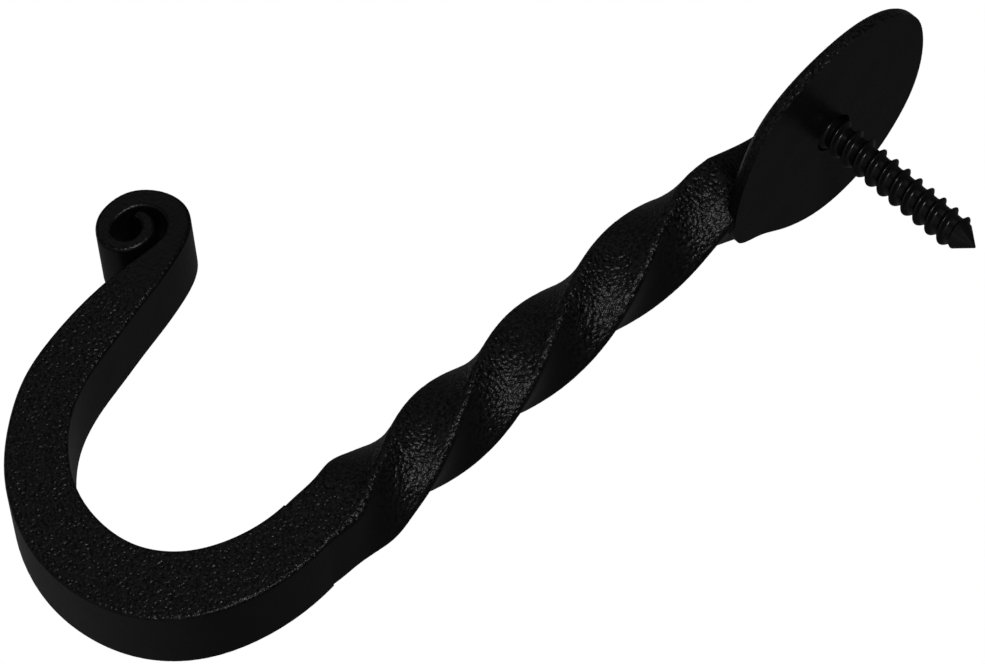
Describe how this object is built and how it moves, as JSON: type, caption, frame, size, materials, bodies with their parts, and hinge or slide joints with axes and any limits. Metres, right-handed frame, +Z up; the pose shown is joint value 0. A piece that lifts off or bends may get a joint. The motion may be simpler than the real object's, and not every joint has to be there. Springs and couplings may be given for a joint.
{
  "type": "towel hook",
  "caption": "Forged iron wall hook with a round plate, a twisted square stem and a J-shaped bend that ends in a rolled scroll, fixed by a slotted wood screw.",
  "frame": {"origin": "centre of the screw's hole on the back of the round plate, in the plane of the wall", "axes": "+Y into the wall along the screw, +Z up along the stem, +X to the side; the hook reaches out towards -Y"},
  "size_m": [0.0292, 0.0755, 0.1182],
  "materials": {
    "black_iron": "black paint with a fine pebbled grain, satin",
    "black_screw": "smooth black coating, satin"
  },
  "bodies": {
    "root": {"hook": "black_iron", "wood_screw": "black_screw"}
  },
  "joints": []
}
